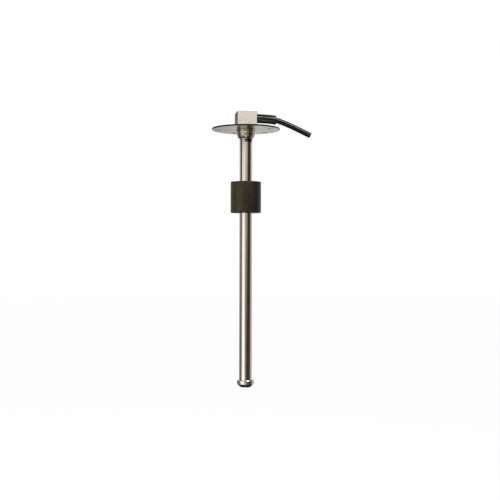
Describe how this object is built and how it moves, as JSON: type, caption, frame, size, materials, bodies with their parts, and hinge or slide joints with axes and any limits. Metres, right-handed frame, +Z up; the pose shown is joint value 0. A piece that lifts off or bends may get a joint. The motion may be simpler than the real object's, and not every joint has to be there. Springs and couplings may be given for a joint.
{
  "type": "tank level sender",
  "caption": "Vertical tank level sender: flanged steel sensor tube with a sliding magnetic float, an end stop, a square head cover and a short cable with its strain relief.",
  "frame": {"origin": "centre of the flange's underside, where it meets the tank, on the tube's axis", "axes": "+Z up along the tube towards the head cover, +X towards the cable"},
  "size_m": [0.1009, 0.068, 0.2742],
  "materials": {
    "flange_steel": "satin",
    "polished_steel": "polished",
    "tube_steel": "polished",
    "cover_steel": "satin",
    "float_foam": "satin",
    "magnet_ferrite": "matte",
    "liner_film": "satin",
    "board_laminate": "satin",
    "potting_resin": "satin",
    "sleeve_plastic": "satin",
    "sheath_plastic": "gloss",
    "core_red": "satin",
    "core_black": "satin",
    "wire_copper": "satin",
    "reed_glass": "gloss",
    "chip_ceramic": "satin"
  },
  "bodies": {
    "sender": {"mounting_flange": "flange_steel", "tube_collar": "polished_steel", "sensor_tube": "tube_steel", "end_stop": "polished_steel", "board_liner": "liner_film", "reed_board": "board_laminate", "reed_switch_01": "reed_glass", "reed_switch_02": "reed_glass", "reed_switch_03": "reed_glass", "reed_switch_04": "reed_glass", "reed_switch_05": "reed_glass", "reed_switch_06": "reed_glass", "reed_switch_07": "reed_glass", "reed_switch_08": "reed_glass", "reed_switch_09": "reed_glass", "reed_switch_10": "reed_glass", "reed_switch_11": "reed_glass", "resistor_01": "chip_ceramic", "resistor_02": "chip_ceramic", "resistor_03": "chip_ceramic", "resistor_04": "chip_ceramic", "resistor_05": "chip_ceramic", "resistor_06": "chip_ceramic", "resistor_07": "chip_ceramic", "resistor_08": "chip_ceramic", "resistor_09": "chip_ceramic", "resistor_10": "chip_ceramic", "head_cover": "cover_steel", "potting": "potting_resin", "strain_relief_sleeve": "sleeve_plastic", "cable_sheath": "sheath_plastic", "cable_core_front": "core_red", "cable_core_back": "core_black", "core_wire_front": "wire_copper", "core_wire_back": "wire_copper"},
    "float": {"float_body": "float_foam", "float_magnet": "magnet_ferrite"}
  },
  "joints": [
    {"name": "float_slide", "type": "slide", "parent": "sender", "child": "float", "axis": [0, 0, 1], "range_m": [-0.1669, 0.0429]}
  ]
}
